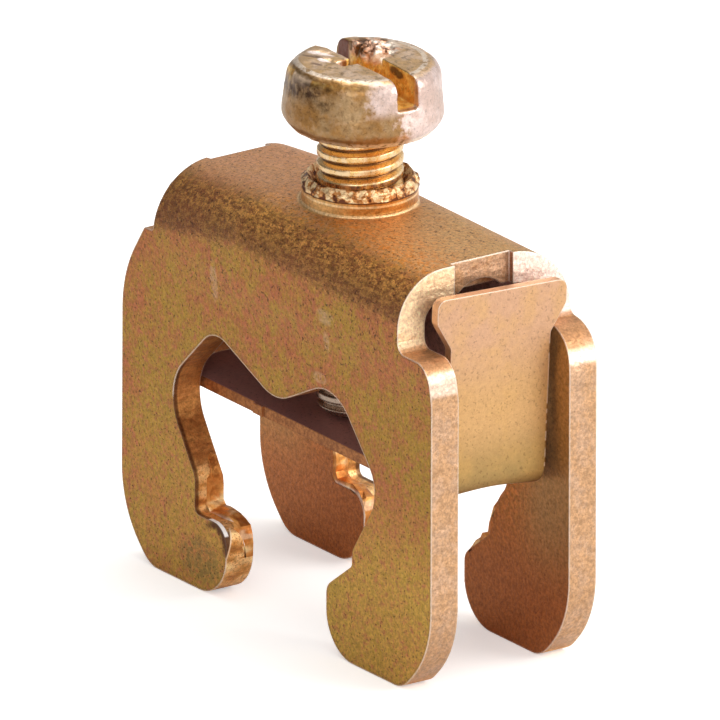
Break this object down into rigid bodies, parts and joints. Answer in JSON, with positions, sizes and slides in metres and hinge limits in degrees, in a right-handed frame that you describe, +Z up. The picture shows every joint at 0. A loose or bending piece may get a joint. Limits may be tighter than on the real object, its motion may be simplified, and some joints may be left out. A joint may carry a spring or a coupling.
{
  "type": "earth bar connector",
  "caption": "Folded steel saddle that hooks over a flat earth bar and clamps a conductor to it with a screw-driven T-ended pressure plate.",
  "frame": {"origin": "centre of the bounding box in plan, at the level of the saddle's feet; it lies on the screw's axis", "axes": "+X along the saddle towards the sloped hook, +Y across the two legs (the way the bar runs), +Z up along the screw to its head"},
  "size_m": [0.0304, 0.0118, 0.0327],
  "materials": {
    "saddle_plating": "yellow-passivated zinc, satin, mottled",
    "plate_plating": "yellow-passivated zinc, satin",
    "screw_plating": "yellow-passivated zinc, worn towards grey on the head"
  },
  "bodies": {
    "saddle": {"saddle": "saddle_plating"},
    "pressure_plate": {"pressure_plate": "plate_plating"},
    "clamp_screw": {"clamp_screw": "screw_plating"}
  },
  "joints": [
    {"name": "plate_lift", "type": "slide", "parent": "saddle", "child": "pressure_plate", "axis": [0, 0, 1], "range_m": [0, 0.008]},
    {"name": "screw_turn", "type": "hinge", "parent": "pressure_plate", "child": "clamp_screw", "pos_m": [0, 0, 0.02], "axis": [0, 0, 1], "range_deg": [0, 3600]}
  ],
  "couplings": [
    {"joint": "screw_turn", "follows": "plate_lift", "rad_per_m": 7854}
  ]
}
